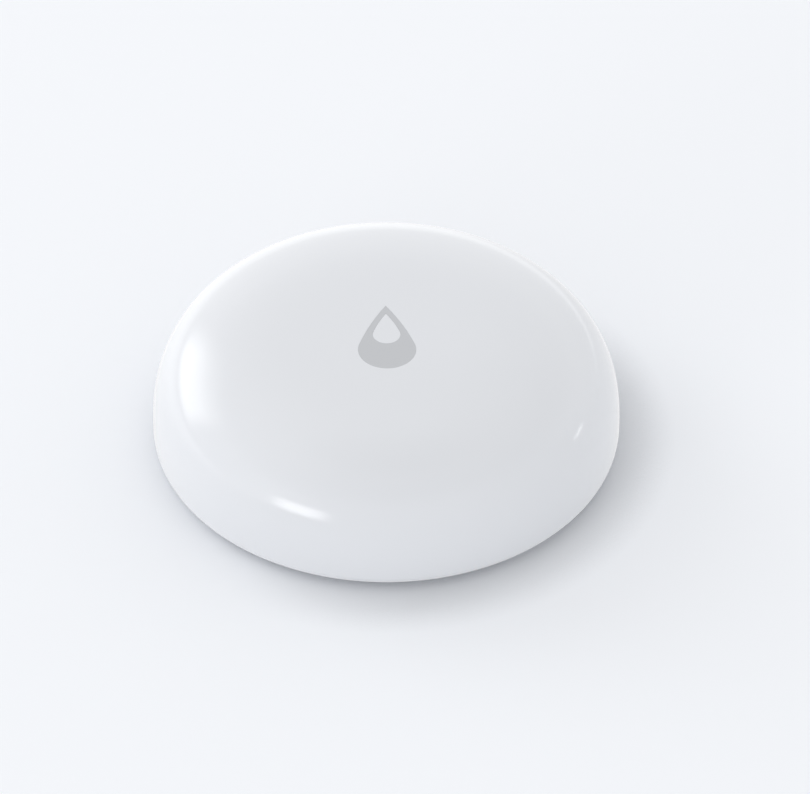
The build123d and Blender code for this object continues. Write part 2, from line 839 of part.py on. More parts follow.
def sealing_diaphragm():
    """Silicone sheet that closes the tray, with a rolled ring that lets its middle boss travel."""
    web_bottom = diaphragm_rim_top - diaphragm_web_thickness
    roll_outer = clamp_ring_inner_radius - diaphragm_roll_gap
    roll_inner = roll_outer - 2 * diaphragm_roll_radius - diaphragm_web_thickness
    roll_middle = (roll_outer + roll_inner) / 2
    sheet = ring(tray_outer_radius, clamp_ring_inner_radius, tray_top, diaphragm_rim_top)
    sheet += ring(tray_outer_radius, roll_middle + diaphragm_roll_radius - diaphragm_web_thickness / 2,
                  web_bottom, diaphragm_rim_top)
    sheet += disc(roll_middle - diaphragm_roll_radius + diaphragm_web_thickness / 2, web_bottom,
                  diaphragm_rim_top)
    half_tube = Plane.XZ * Pos(roll_middle, web_bottom) * (
        Circle(diaphragm_roll_radius + diaphragm_web_thickness / 2)
        - Circle(diaphragm_roll_radius - diaphragm_web_thickness / 2)
    )
    roll = revolve(half_tube, Axis.Z)
    sheet += roll & disc(tray_outer_radius, web_bottom, clamp_ring_top + cut_overrun)
    sheet += disc(diaphragm_boss_radius, web_bottom, diaphragm_boss_top)
    sheet -= disc(diaphragm_boss_radius, tray_top, diaphragm_boss_bottom)
    for angle in hook_angles:
        x, y = on_circle(clamp_screw_circle, angle)
        sheet -= disc(screw_radius + running_gap, tray_top - cut_overrun, clamp_ring_top, x, y)
    return sheet


def clamp_ring():
    """Ring that clamps the diaphragm's rim to the tray."""
    body = ring(tray_outer_radius, clamp_ring_inner_radius, diaphragm_rim_top, clamp_ring_top)
    top_edges = body.edges().group_by(Axis.Z)[-1]
    body = chamfer(top_edges.sort_by(SortBy.RADIUS)[-1], clamp_ring_chamfer)
    for angle in hook_angles:
        x, y = on_circle(clamp_screw_circle, angle)
        body -= disc(screw_radius + running_gap, tray_top, clamp_ring_top + cut_overrun, x, y)
    return body


def clamp_screws():
    """Four screws through the clamp ring."""
    return group([Pos(*on_circle(clamp_screw_circle, angle), 0) * small_screw(clamp_ring_top, clamp_screw_length)
                  for angle in hook_angles])


def board_screws():
    """Two screws through the board."""
    return group([Pos(*on_circle(board_screw_circle, angle), 0) * small_screw(board_top, board_screw_length)
                  for angle in board_screw_angles])


# Write every piece

save(top_cover(), "top_cover")
save(drop_inlay(), "drop_inlay")
save(base_housing(), "base_housing")
save(battery_door(), "battery_door")
save(door_seal(), "door_seal")
save(cell_can(), "cell_can")
save(cell_gasket(), "cell_gasket")
save(cell_cap(), "cell_cap")
save(cell_pellet(), "cell_pellet")
save(group([probe_screw(side * probe_circle) for side in probe_sides]), "probe_screws")
save(group([probe_seal(side * probe_circle) for side in probe_sides]), "probe_seals")
save(group([probe_insert(side * probe_circle) for side in probe_sides]), "probe_inserts")
save(group([probe_contact(side) for side in probe_sides]), "probe_contacts")
save(negative_spring(), "negative_spring")
save(group([positive_clip(positive_clip_angle), positive_clip(positive_clip_angle + 180)]), "positive_clips")
save(main_board(), "main_board")
save(radio_chip(), "radio_chip")
save(crystal(), "crystal")
save(indicator_led(), "indicator_led")
save(chip_parts(capacitor_length, capacitor_width, capacitor_height, capacitor_place_shares), "chip_capacitors")
save(chip_parts(resistor_length, resistor_width, resistor_height, resistor_place_shares), "chip_resistors")
save(antenna_trace(), "antenna_trace")
save(switch_body(), "switch_body")
save(switch_dome(), "switch_dome")
save(switch_frame(), "switch_frame")
save(switch_plunger(), "switch_plunger")
save(switch_terminals(), "switch_terminals")
save(sealing_diaphragm(), "sealing_diaphragm")
save(clamp_ring(), "clamp_ring")
save(clamp_screws(), "clamp_screws")
save(board_screws(), "board_screws")
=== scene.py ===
"""Looks of a water leak sensor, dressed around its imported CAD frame.

The sensor is a glossy white puck with a grey water-drop sign in its crown. It lies on a pale floor under soft
studio light, in front of a long lens. Every part of the frame gets its own finish, inside and underneath too.
"""

import logging
import math
from dataclasses import dataclass
from enum import Enum

import bmesh
import bpy
from mathutils import Matrix, Vector

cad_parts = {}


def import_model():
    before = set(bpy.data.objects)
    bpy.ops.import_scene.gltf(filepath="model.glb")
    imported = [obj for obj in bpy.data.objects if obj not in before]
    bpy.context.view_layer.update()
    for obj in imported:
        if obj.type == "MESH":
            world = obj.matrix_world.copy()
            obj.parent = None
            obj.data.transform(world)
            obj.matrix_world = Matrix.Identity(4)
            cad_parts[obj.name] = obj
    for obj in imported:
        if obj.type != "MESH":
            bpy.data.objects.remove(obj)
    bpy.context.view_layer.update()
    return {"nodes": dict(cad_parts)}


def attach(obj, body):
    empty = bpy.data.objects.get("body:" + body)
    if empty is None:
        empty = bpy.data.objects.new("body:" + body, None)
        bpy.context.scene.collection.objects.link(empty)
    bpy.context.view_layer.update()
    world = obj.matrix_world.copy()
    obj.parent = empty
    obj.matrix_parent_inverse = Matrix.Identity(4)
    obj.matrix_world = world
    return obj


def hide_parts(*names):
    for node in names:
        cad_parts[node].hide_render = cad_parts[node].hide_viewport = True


LOG = logging.getLogger("leak_sensor")
MM = 0.001
PLASTIC_IOR = 1.5
FINE_DETAIL = 3.0

Triple = tuple[float, float, float]
Colour = Triple
Place = tuple[float, float]
Socket = bpy.types.NodeSocket
Piece = bpy.types.Object
Material = bpy.types.Material


def from_screen(red: int, green: int, blue: int) -> Colour:
    """Turn a colour as a screen shows it into the linear values that a shader takes.

    Args:
        red: Red on the screen, 0 to 255.
        green: Green on the screen, 0 to 255.
        blue: Blue on the screen, 0 to 255.

    Returns:
        The linear red, green and blue.
    """
    full, knee, low_slope, offset, power = 255, 0.04045, 12.92, 0.055, 2.4

    def linear(value: int) -> float:
        """Linear value of one channel."""
        share = value / full
        return share / low_slope if share <= knee else ((share + offset) / (1 + offset)) ** power

    return linear(red), linear(green), linear(blue)


def shaded(colour: Colour, share: float) -> Colour:
    """Colour with each channel multiplied by a share."""
    red, green, blue = colour
    return red * share, green * share, blue * share


def towards(azimuth: float, elevation: float) -> Vector:
    """Direction of an azimuth and an elevation.

    Args:
        azimuth: Angle in degrees from +X towards +Y.
        elevation: Angle in degrees above the floor.

    Returns:
        The direction, of length 1.
    """
    turn, rise = math.radians(azimuth), math.radians(elevation)
    return Vector((math.cos(turn) * math.cos(rise), math.sin(turn) * math.cos(rise), math.sin(rise)))


def aimed(data: bpy.types.Light | bpy.types.Camera, target: Vector, offset: Vector) -> Piece:
    """Place a lamp or a camera and aim it at a point.

    Args:
        data: The lamp's or camera's data, which gives the name too.
        target: Point that it faces.
        offset: Way from that point to it.

    Returns:
        The lamp or camera.
    """
    thing = bpy.data.objects.new(data.name, data)
    thing.location = target + offset
    thing.rotation_mode = "QUATERNION"
    thing.rotation_quaternion = (-offset).to_track_quat("-Z", "Y")
    bpy.context.scene.collection.objects.link(thing)
    return thing


class Desk:
    """Desk on which a node tree is wired up."""

    def __init__(self, tree: bpy.types.NodeTree) -> None:
        """Sit down at a node tree.

        Args:
            tree: Tree that is wired up.
        """
        self.tree = tree

    def link(self, source: Socket, target: Socket) -> None:
        """Join two sockets."""
        self.tree.links.new(source, target)

    def feed(self, value: Socket | float | Colour, target: Socket) -> None:
        """Give a socket either a plain value or another socket's value.

        Args:
            value: Plain value or socket.
            target: Socket that gets it.
        """
        if isinstance(value, bpy.types.NodeSocket):
            self.link(value, target)
        else:
            target.default_value = value

    def calculate(self, operation: str, first: Socket | float, second: Socket | float = 0.0) -> Socket:
        """Calculate with two numbers.

        Args:
            operation: Name of the operation.
            first: First number.
            second: Second number.

        Returns:
            The result.
        """
        node = self.tree.nodes.new("ShaderNodeMath")
        node.operation = operation
        self.feed(first, node.inputs[0])
        self.feed(second, node.inputs[1])
        return node.outputs["Value"]

    def source(self, kind: str, output: str) -> Socket:
        """Output of a new node of the given kind."""
        return self.tree.nodes.new(kind).outputs[output]

    def parts(self, vector: Socket) -> bpy.types.NodeOutputs:
        """Split a vector.

        Args:
            vector: Vector to split.

        Returns:
            Its X, Y and Z.
        """
        node = self.tree.nodes.new("ShaderNodeSeparateXYZ")
        self.link(vector, node.inputs["Vector"])
        return node.outputs

    def along(self, vector: Socket, direction: Vector) -> Socket:
        """How far a vector reaches in a direction."""
        return self.combine("DOT_PRODUCT", vector, tuple(direction))["Value"]

    def combine(self, operation: str, first: Socket, second: Triple = (0.0, 0.0, 0.0)) -> bpy.types.NodeOutputs:
        """Calculate with two vectors.

        Args:
            operation: Name of the operation.
            first: First vector.
            second: Second vector.

        Returns:
            The results, a Vector and a Value.
        """
        node = self.tree.nodes.new("ShaderNodeVectorMath")
        node.operation = operation
        self.link(first, node.inputs[0])
        node.inputs[1].default_value = second
        return node.outputs

    def remap(self, value: Socket, low: float, high: float, start: float = 0.0, end: float = 1.0,
              soft: bool = False) -> Socket:
        """Stretch a value from one range to another, and hold it there.

        Args:
            value: Value to stretch.
            low: Result at the start.
            high: Result at the end.
            start: Start of the range that comes in.
            end: End of the range that comes in.
            soft: Whether the change eases in and out.

        Returns:
            The stretched value.
        """
        node = self.tree.nodes.new("ShaderNodeMapRange")
        node.interpolation_type = "SMOOTHSTEP" if soft else "LINEAR"
        for name, number in (("From Min", start), ("From Max", end), ("To Min", low), ("To Max", high)):
            node.inputs[name].default_value = number
        self.link(value, node.inputs["Value"])
        return node.outputs["Result"]

    def blend(self, factor: Socket, first: Socket | Colour, second: Socket | Colour) -> Socket:
        """Mix two colours by a factor.

        Args:
            factor: 0 gives the first colour and 1 the second.
            first: First colour.
            second: Second colour.

        Returns:
            The mixed colour.
        """
        node = self.tree.nodes.new("ShaderNodeMix")
        node.data_type = "RGBA"
        for value, name in ((first, "A"), (second, "B")):
            self.feed((*value, 1.0) if isinstance(value, tuple) else value, node.inputs[name])
        self.link(factor, node.inputs["Factor"])
        return node.outputs["Result"]


class ShaderDesk(Desk):
    """Desk for one material, which starts with a Principled shader on it."""

    def __init__(self, name: str) -> None:
        """Start an empty material with a Principled shader.

        Args:
            name: Name of the material.
        """
        self.material = bpy.data.materials.new(name)
        self.material.use_nodes = True
        super().__init__(self.material.node_tree)
        self.tree.nodes.clear()
        self.output = self.tree.nodes.new("ShaderNodeOutputMaterial")
        self.shader = self.tree.nodes.new("ShaderNodeBsdfPrincipled")
        self.link(self.shader.outputs["BSDF"], self.output.inputs["Surface"])
        self.place = self.source("ShaderNodeTexCoord", "Object")

    def set(self, **values: float) -> None:
        """Set plain values on the shader, with underscores for spaces in a socket's name."""
        for name, value in values.items():
            self.shader.inputs[name.replace("_", " ")].default_value = value

    def paint(self, colour: Socket, roughness: Socket) -> None:
        """Wire a colour and a roughness to the shader."""
        self.link(colour, self.shader.inputs["Base Color"])
        self.link(roughness, self.shader.inputs["Roughness"])

    def noise(self, size: float, detail: float = 2.0, stretch: Triple = (1.0, 1.0, 1.0)) -> Socket:
        """Fractal noise whose grains are about the given size.

        Args:
            size: Size of a grain, in metres.
            detail: Octaves of finer grain.
            stretch: Scale along each axis before the noise.

        Returns:
            The noise value, about 0.5 on average.
        """
        mapping = self.tree.nodes.new("ShaderNodeMapping")
        mapping.inputs["Scale"].default_value = stretch
        self.link(self.place, mapping.inputs["Vector"])
        node = self.tree.nodes.new("ShaderNodeTexNoise")
        node.inputs["Scale"].default_value = 1 / size
        node.inputs["Detail"].default_value = detail
        self.link(mapping.outputs["Vector"], node.inputs["Vector"])
        return node.outputs["Fac"]

    def cells(self, size: float, feature: str = "F1", metric: str = "EUCLIDEAN", flat: bool = False) -> Socket:
        """Distance to the points of scattered cells, as a share of a cell's size.

        Args:
            size: Size of a cell, in metres.
            feature: Which of the near points counts.
            metric: How the distance is taken.
            flat: Whether the cells are scattered over the XY plane alone.

        Returns:
            The distance.
        """
        node = self.tree.nodes.new("ShaderNodeTexVoronoi")
        node.voronoi_dimensions = "2D" if flat else "3D"
        node.feature = feature
        node.distance = metric
        node.inputs["Scale"].default_value = 1 / size
        self.link(self.place, node.inputs["Vector"])
        return node.outputs["Distance"]

    def rings(self, centre: Place, spacing: float) -> Socket:
        """Fine rings round upright axes, as a lathe leaves them.

        Args:
            centre: X and Y of an axis in the first quarter. Its mirror images in the other quarters count too.
            spacing: Distance between two rings, in metres.

        Returns:
            The rings, 0 to 1.
        """
        folded = self.combine("ABSOLUTE", self.place)["Vector"]
        centred = self.combine("SUBTRACT", folded, (*centre, 0.0))["Vector"]
        level = self.combine("MULTIPLY", centred, (1.0, 1.0, 0.0))["Vector"]
        radius = self.combine("LENGTH", level)["Value"]
        wave = self.calculate("SINE", self.calculate("MULTIPLY", radius, math.tau / spacing))
        return self.remap(wave, 0.0, 1.0, start=-1.0)

    def bump(self, height: Socket, depth: float) -> None:
        """Raise the surface by a height map.

        Args:
            height: Height, 0 to 1.
            depth: Real depth of the full height, in metres.
        """
        node = self.tree.nodes.new("ShaderNodeBump")
        node.inputs["Distance"].default_value = depth
        self.link(height, node.inputs["Height"])
        self.link(node.outputs["Normal"], self.shader.inputs["Normal"])


class Grain(Enum):
    """How a metal surface was worked."""

    TURNED = "turned on a lathe"
    DRAWN = "drawn or rolled"
    PLATED = "plated"


@dataclass(frozen=True)
class Finish:
    """Finish of one kind of surface. Each subclass says how its material is wired up."""

    name: str
    colour: Colour
    roughness: float = 0.5
    spread: float = 0.08
    tint: float = 0.93

    def wire(self, desk: ShaderDesk) -> None:
        """Wire the material up on its desk."""
        raise NotImplementedError(self.name)

    def uneven(self, desk: ShaderDesk, wear: Socket) -> Socket:
        """Roughness that rises with the wear, 0 to 1."""
        return desk.remap(wear, self.roughness - self.spread, self.roughness + self.spread)

    def coat(self, desk: ShaderDesk, shade: Socket, wear: Socket) -> None:
        """Paint the shader with the colour, a little darker in places, and with an uneven roughness.

        Args:
            desk: Desk of the material.
            shade: How full the colour is, 0 to 1.
            wear: How rough the surface is, 0 to 1.
        """
        desk.paint(desk.blend(shade, shaded(self.colour, self.tint), self.colour), self.uneven(desk, wear))

    def shared(self) -> Material:
        """Material of this finish, built when it is first asked for.

        Returns:
            The material.
        """
        if self.name not in bpy.data.materials:
            self.wire(ShaderDesk(self.name))
        return bpy.data.materials[self.name]


@dataclass(frozen=True)
class MouldedGloss(Finish):
    """High-gloss moulded plastic, with a faint ripple and a trace of haze."""

    roughness: float = 0.1
    spread: float = 0.02
    tint: float = 0.985
    cloud_size: float = 18 * MM
    haze_size: float = 3 * MM
    ripple_size: float = 6 * MM
    ripple_depth: float = 0.0006 * MM

    def wire(self, desk: ShaderDesk) -> None:
        """Wire the material up on its desk."""
        self.coat(desk, desk.noise(self.cloud_size), desk.noise(self.haze_size))
        desk.bump(desk.noise(self.ripple_size), self.ripple_depth)
        desk.set(IOR=PLASTIC_IOR)


@dataclass(frozen=True)
class MouldedMatte(Finish):
    """Moulded plastic with the pitted grain of a spark-eroded tool."""

    pit_size: float = 0.14 * MM
    pit_depth: float = 0.008 * MM
    speckle_ratio: float = 2
    flow_ratio: float = 60

    def wire(self, desk: ShaderDesk) -> None:
        """Wire the material up on its desk.

        Args:
            desk: Desk of the material.
        """
        speckle = desk.noise(self.pit_size * self.speckle_ratio, FINE_DETAIL)
        pits = desk.calculate("MULTIPLY", desk.cells(self.pit_size), speckle)
        flow = desk.noise(self.pit_size * self.flow_ratio)
        self.coat(desk, desk.calculate("MAXIMUM", pits, flow), pits)
        desk.bump(pits, self.pit_depth)
        desk.set(IOR=PLASTIC_IOR)


@dataclass(frozen=True)
class Metal(Finish):
    """Bare or plated metal, which shows how it was worked."""

    roughness: float = 0.28
    spread: float = 0.07
    tint: float = 0.86
    grain: Grain = Grain.PLATED
    line_size: float = 0.06 * MM
    line_depth: float = 0.003 * MM
    ring_ratio: float = 2
    tarnish_ratio: float = 30
    centre: Place = (0.0, 0.0)
    lengthwise: Triple = (1.0, 0.06, 1.0)

    def lines(self, desk: ShaderDesk) -> Socket:
        """Marks that the work left on the surface.

        Args:
            desk: Desk of the material.

        Returns:
            The marks, 0 to 1.
        """
        speckle = desk.noise(self.line_size, FINE_DETAIL)
        if self.grain is Grain.TURNED:
            return desk.calculate("MULTIPLY", desk.rings(self.centre, self.line_size * self.ring_ratio), speckle)
        if self.grain is Grain.DRAWN:
            return desk.noise(self.line_size, stretch=self.lengthwise)
        return speckle

    def wire(self, desk: ShaderDesk) -> None:
        """Wire the material up on its desk.

        Args:
            desk: Desk of the material.
        """
        lines = self.lines(desk)
        self.coat(desk, desk.noise(self.line_size * self.tarnish_ratio), lines)
        desk.bump(lines, self.line_depth)
        desk.set(Metallic=1.0)


@dataclass(frozen=True)
class SoftRubber(Finish):
    """Silicone or seal rubber: matt, faintly mottled and, when clear, lit from inside."""

    tint: float = 0.9
    mottle_size: float = 0.6 * MM
    mottle_depth: float = 0.003 * MM
    bending: float = 1.41
    inner_glow: float = 0.0
    glow_radius: float = 0.8 * MM

    def wire(self, desk: ShaderDesk) -> None:
        """Wire the material up on its desk.

        Args:
            desk: Desk of the material.
        """
        mottle = desk.noise(self.mottle_size, FINE_DETAIL)
        self.coat(desk, mottle, mottle)
        desk.bump(mottle, self.mottle_depth)
        desk.set(IOR=self.bending, Subsurface_Weight=self.inner_glow, Subsurface_Scale=self.glow_radius)


@dataclass(frozen=True)
class BoardLacquer(Finish):
    """Green solder mask over copper, with gold holes, and bare laminate at the edges."""

    roughness: float = 0.32
    copper_colour: Colour = from_screen(52, 128, 90)
    gold_colour: Colour = from_screen(214, 178, 96)
    laminate_colour: Colour = from_screen(168, 158, 104)
    track_size: float = 2.4 * MM
    track_range: Place = (0.10, 0.15)
    track_depth: float = 0.03 * MM
    hole_pitch: float = 2.1 * MM
    hole_range: Place = (0.10, 0.13)
    face_range: Place = (0.4, 0.6)
    weave_size: float = 0.24 * MM

    def wire(self, desk: ShaderDesk) -> None:
        """Wire the material up on its desk.

        Args:
            desk: Desk of the material.
        """
        near = desk.cells(self.track_size, "F1", "CHEBYCHEV", flat=True)
        far = desk.cells(self.track_size, "F2", "CHEBYCHEV", flat=True)
        copper = desk.remap(desk.calculate("SUBTRACT", far, near), 0.0, 1.0, *self.track_range)
        hole = desk.remap(desk.cells(self.hole_pitch, flat=True), 1.0, 0.0, *self.hole_range)
        face = desk.blend(hole, desk.blend(copper, self.colour, self.copper_colour), self.gold_colour)
        upright = desk.parts(desk.source("ShaderNodeNewGeometry", "Normal"))["Z"]
        flatness = desk.remap(desk.calculate("ABSOLUTE", upright), 0.0, 1.0, *self.face_range)
        desk.paint(desk.blend(flatness, self.laminate_colour, face),
                   self.uneven(desk, desk.noise(self.weave_size, FINE_DETAIL)))
        desk.bump(copper, self.track_depth)
        desk.set(IOR=PLASTIC_IOR)


SEAL_RUBBER = SoftRubber("seal_black", from_screen(40, 40, 42))
SPRING_STEEL = Metal("nickelled_spring_steel", (0.66, 0.64, 0.60), grain=Grain.DRAWN)


@dataclass(frozen=True)
class Lamp:
    """One soft area lamp, aimed at the sensor, whose panel fades out towards its edges."""

    name: str
    azimuth: float
    elevation: float
    width: float
    height: float
    strength: float
    side_fade: float = 0.35
    low_fade: float = 0.3
    high_fade: float = 0.3
    distance: float = 1500 * MM

    def place(self, target: Vector) -> Piece:
        """Make the lamp and aim it at a point.

        Args:
            target: Point that the lamp faces.

        Returns:
            The lamp.
        """
        data = bpy.data.lights.new(self.name, "AREA")
        data.shape = "RECTANGLE"
        data.size, data.size_y = self.width, self.height
        data.energy = self.strength * self.width * self.height * math.pi
        self._soften(data)
        return aimed(data, target, towards(self.azimuth, self.elevation) * self.distance)

    def _soften(self, data: bpy.types.AreaLight) -> None:
        """Fade the lamp's panel out towards its edges.

        Args:
            data: The lamp's data.
        """
        data.use_nodes = True
        desk = Desk(data.node_tree)
        emission = next(node for node in desk.tree.nodes if node.type == "EMISSION")
        panel = desk.parts(desk.source("ShaderNodeNewGeometry", "Parametric"))
        strength: Socket | float = 1.0
        for place, first, last in ((panel["X"], self.side_fade, self.side_fade),
                                   (panel["Y"], self.low_fade, self.high_fade)):
            for fade in (desk.remap(place, 0.0, 1.0, 0.0, first, soft=True),
                         desk.remap(place, 1.0, 0.0, 1 - last, 1.0, soft=True)):
                strength = desk.calculate("MULTIPLY", fade, strength)
        desk.link(strength, emission.inputs["Strength"])


@dataclass(frozen=True)
class SkyPatch:
    """Round patch of the sky that is brighter or dimmer than the rest, with a soft edge."""

    azimuth: float
    elevation: float
    inner: float
    outer: float
    level: float

    def factor(self, desk: Desk, direction: Socket) -> Socket:
        """Build the patch's factor on the sky.

        Args:
            desk: Desk of the world's node tree.
            direction: Direction that is looked in.

        Returns:
            The level inside the patch, and 1 outside it.
        """
        nearness = desk.along(direction, towards(self.azimuth, self.elevation))
        return desk.remap(nearness, 1.0, self.level, math.cos(math.radians(self.outer)),
                          math.cos(math.radians(self.inner)), soft=True)


@dataclass
class Studio:
    """Floor, soft light and the photograph's camera.

    The sky's levels are pairs of an elevation and a level. The sky scale only keeps them within a colour's range.
    """

    frame_width: int = 810
    frame_height: int = 794
    camera_distance: float = 500 * MM
    camera_elevation: float = 40.79
    camera_azimuth: float = -91.2
    target_height: float = 7 * MM
    pixels_per_mm: float = 9.371
    target_column: float = 386.34
    target_row: float = 383.69
    sensor_width: float = 36.0
    floor_size: float = 6.0
    floor_colour: Colour = (0.865, 0.882, 0.914)
    floor_roughness: float = 0.9
    # Painted shade on the floor: how far the occlusion looks, how dark it paints, its samples and the lee side it
    # lies on.
    contact_reach: float = 6.5 * MM
    painted_shade_depth: float = 0.22
    contact_samples: int = 4
    lee_azimuth: float = -35
    lee_distance: float = 18 * MM
    window_radius: float = 23.6 * MM
    # Painted reflection of the floor in the cover: its level, where it dims near the sensor, and a brighter rear.
    painted_reflection_level: float = 1.0
    painted_reflection_start: float = 0.8
    painted_rear_level: float = 1.5
    rear_azimuth: float = 125
    rear_start: float = 25 * MM
    rear_end: float = 65 * MM
    sky_scale: float = 2.0
    sky_levels: tuple[tuple[float, float], ...] = (
        (-90, 0.0), (-1, 0.0), (0, 1.02), (12, 1.0), (25, 1.08), (45, 0.84), (65, 1.04), (90, 0.71))
    sky_patches: tuple[SkyPatch, ...] = (
        SkyPatch(azimuth=35, elevation=32, inner=8, outer=38, level=1.22),
        SkyPatch(azimuth=-90, elevation=62, inner=10, outer=35, level=0.8),
        SkyPatch(azimuth=-142, elevation=8, inner=6, outer=28, level=1.4),
        SkyPatch(azimuth=90, elevation=0, inner=10, outer=40, level=1.25),
    )
    lamps: tuple[Lamp, ...] = (
        Lamp("left_softbox", azimuth=144, elevation=23, width=1380 * MM, height=1270 * MM, strength=2.6,
             side_fade=0.3, low_fade=0.25, high_fade=0.6),
        Lamp("front_left_strip", azimuth=-130.5, elevation=8, width=900 * MM, height=420 * MM, strength=4.8),
        Lamp("right_strip", azimuth=11.6, elevation=6, width=290 * MM, height=115 * MM, strength=3.2,
             side_fade=0.38),
        Lamp("light_table", azimuth=-60, elevation=-84, width=1100 * MM, height=1100 * MM, strength=6.0),
    )

    def target(self) -> Vector:
        """Point that the camera and the lamps face."""
        return Vector((0.0, 0.0, self.target_height))

    def build_camera(self) -> Piece:
        """Put the camera where the photograph was taken from.

        Returns:
            The camera.
        """
        data = bpy.data.cameras.new("photo_camera")
        focal_pixels = self.pixels_per_mm * self.camera_distance / MM
        data.sensor_width = self.sensor_width
        data.lens = focal_pixels * self.sensor_width / self.frame_width
        data.shift_x = (self.frame_width / 2 - self.target_column) / self.frame_width
        data.shift_y = (self.target_row - self.frame_height / 2) / self.frame_width
        back = towards(self.camera_azimuth, self.camera_elevation)
        camera = aimed(data, self.target(), back * self.camera_distance)
        bpy.context.scene.camera = camera
        return camera

    def build_floor(self) -> Piece:
        """Lay a wide pale floor.

        It is a light table: it is clear from below and lets light through a round window to the surfaces above
        it, so that the probes and the battery door can be seen from there. Its colour has painted shade, a little
        darker on the sensor's lee side, and in the glossy cover it shows as a painted reflection.

        Returns:
            The floor.
        """
        mesh = bmesh.new()
        bmesh.ops.create_grid(mesh, x_segments=1, y_segments=1, size=self.floor_size)
        floor = as_piece(mesh, "floor")
        desk = ShaderDesk("floor_paper")
        ray = desk.tree.nodes.new("ShaderNodeLightPath").outputs
        nearby = desk.tree.nodes.new("ShaderNodeAmbientOcclusion")
        nearby.samples = self.contact_samples
        nearby.inputs["Distance"].default_value = self.contact_reach
        openness = nearby.outputs["AO"]
        # Painted shade: the floor's colour is darkened close to the sensor on its lee side.
        desk.link(self._painted_contact_shade(desk, openness), desk.shader.inputs["Base Color"])
        desk.set(Roughness=self.floor_roughness, Specular_IOR_Level=0.0)
        clear = desk.source("ShaderNodeBsdfTransparent", "BSDF")
        below = desk.source("ShaderNodeNewGeometry", "Backfacing")
        # Painted reflection: glossy rays see the floor as an emission, brighter behind the sensor and dimmer close to
        # it.
        seen = self._mix(desk, ray["Is Glossy Ray"], desk.shader.outputs["BSDF"], self._painted_reflection(desk, openness))
        see_through = desk.calculate("MAXIMUM", below, self._lit_from_below(desk, ray))
        desk.link(self._mix(desk, see_through, seen, clear), desk.output.inputs["Surface"])
        floor.data.materials.append(desk.material)
        return floor

    def _painted_contact_shade(self, desk: ShaderDesk, openness: Socket) -> Socket:
        """Colour of the floor, with painted shade: a little darker in a half-shade on the sensor's lee side.

        Args:
            desk: Desk of the floor's material.
            openness: How open the floor lies, 0 to 1.

        Returns:
            The colour.
        """
        peak = 0.5
        covered = desk.calculate("SUBTRACT", 1.0, openness)
        painted_half_shade = desk.remap(desk.calculate("MULTIPLY", covered, openness), 0.0, 1.0, 0.0, peak * (1 - peak))
        lee = desk.remap(desk.along(desk.place, towards(self.lee_azimuth, 0.0)), 0.0, 1.0, 0.0, self.lee_distance)
        # The painted shade: the floor colour, darkened by up to the depth where the half-shade and the lee side meet.
        return desk.blend(desk.calculate("MULTIPLY", painted_half_shade, lee), self.floor_colour,
                          shaded(self.floor_colour, 1 - self.painted_shade_depth))

    def _painted_reflection(self, desk: ShaderDesk, openness: Socket) -> Socket:
        """Painted reflection: an emission that the floor shows only in the glossy cover, brighter behind the sensor
        and dimmer close to it.

        Args:
            desk: Desk of the floor's material.
            openness: How open the floor lies, 0 to 1.

        Returns:
            The shader.
        """
        node = desk.tree.nodes.new("ShaderNodeEmission")
        # Painted light in the reflection: the emission rises towards the rear and is darkened where the floor lies
        # close to the sensor.
        rearward = desk.along(desk.place, towards(self.rear_azimuth, 0.0))
        desk.link(desk.remap(rearward, self.painted_reflection_level, self.painted_rear_level, self.rear_start, self.rear_end),
                  node.inputs["Strength"])
        desk.link(desk.blend(desk.remap(openness, self.painted_reflection_start, 1.0), (0.0, 0.0, 0.0), (1.0, 1.0, 1.0)),
                  node.inputs["Color"])
        return node.outputs["Emission"]

    def _lit_from_below(self, desk: ShaderDesk, ray: bpy.types.NodeOutputs) -> Socket:
        """Whether a shadow ray of a surface that is seen directly passes the round window under the sensor.

        Args:
            desk: Desk of the floor's material.
            ray: What is known of the ray.

        Returns:
            1 where it does, and 0 elsewhere.
        """
        first_hit = desk.calculate("SUBTRACT", 1.0, ray["Diffuse Depth"])
        direct = desk.calculate("MULTIPLY", ray["Is Shadow Ray"], desk.calculate("GREATER_THAN", first_hit))
        radius = desk.combine("LENGTH", desk.place)["Value"]
        return desk.calculate("MULTIPLY", direct, desk.calculate("LESS_THAN", radius, self.window_radius))

    def _mix(self, desk: Desk, factor: Socket, first: Socket, second: Socket) -> Socket:
        """Mix two shaders.

        Args:
            desk: Desk of the material.
            factor: 0 gives the first shader and 1 the second.
            first: First shader.
            second: Second shader.

        Returns:
            The mixed shader.
        """
        node = desk.tree.nodes.new("ShaderNodeMixShader")
        for number, source in enumerate((factor, first, second)):
            desk.link(source, node.inputs[number])
        return node.outputs["Shader"]

    def build_light(self) -> None:
        """Light the sky and place the lamps."""
        world = bpy.data.worlds.new("studio_sky")
        bpy.context.scene.world = world
        world.use_nodes = True
        desk = Desk(world.node_tree)
        background = desk.tree.nodes["Background"]
        direction = desk.source("ShaderNodeTexCoord", "Generated")
        ramp = desk.tree.nodes.new("ShaderNodeValToRGB")
        desk.link(desk.remap(desk.parts(direction)["Z"], 0.0, 1.0, start=-1.0), ramp.inputs["Fac"])
        stops = ramp.color_ramp.elements
        stops.remove(stops[-1])
        for elevation, level in self.sky_levels:
            place = (1 + math.sin(math.radians(elevation))) / 2
            stop = stops.new(place) if place > 0 else stops[0]
            stop.color = (*[level / self.sky_scale] * 3, 1.0)
        desk.link(ramp.outputs["Color"], background.inputs["Color"])
        strength: Socket | float = self.sky_scale
        for patch in self.sky_patches:
            strength = desk.calculate("MULTIPLY", patch.factor(desk, direction), strength)
        desk.link(strength, background.inputs["Strength"])
        for lamp in self.lamps:
            lamp.place(self.target())

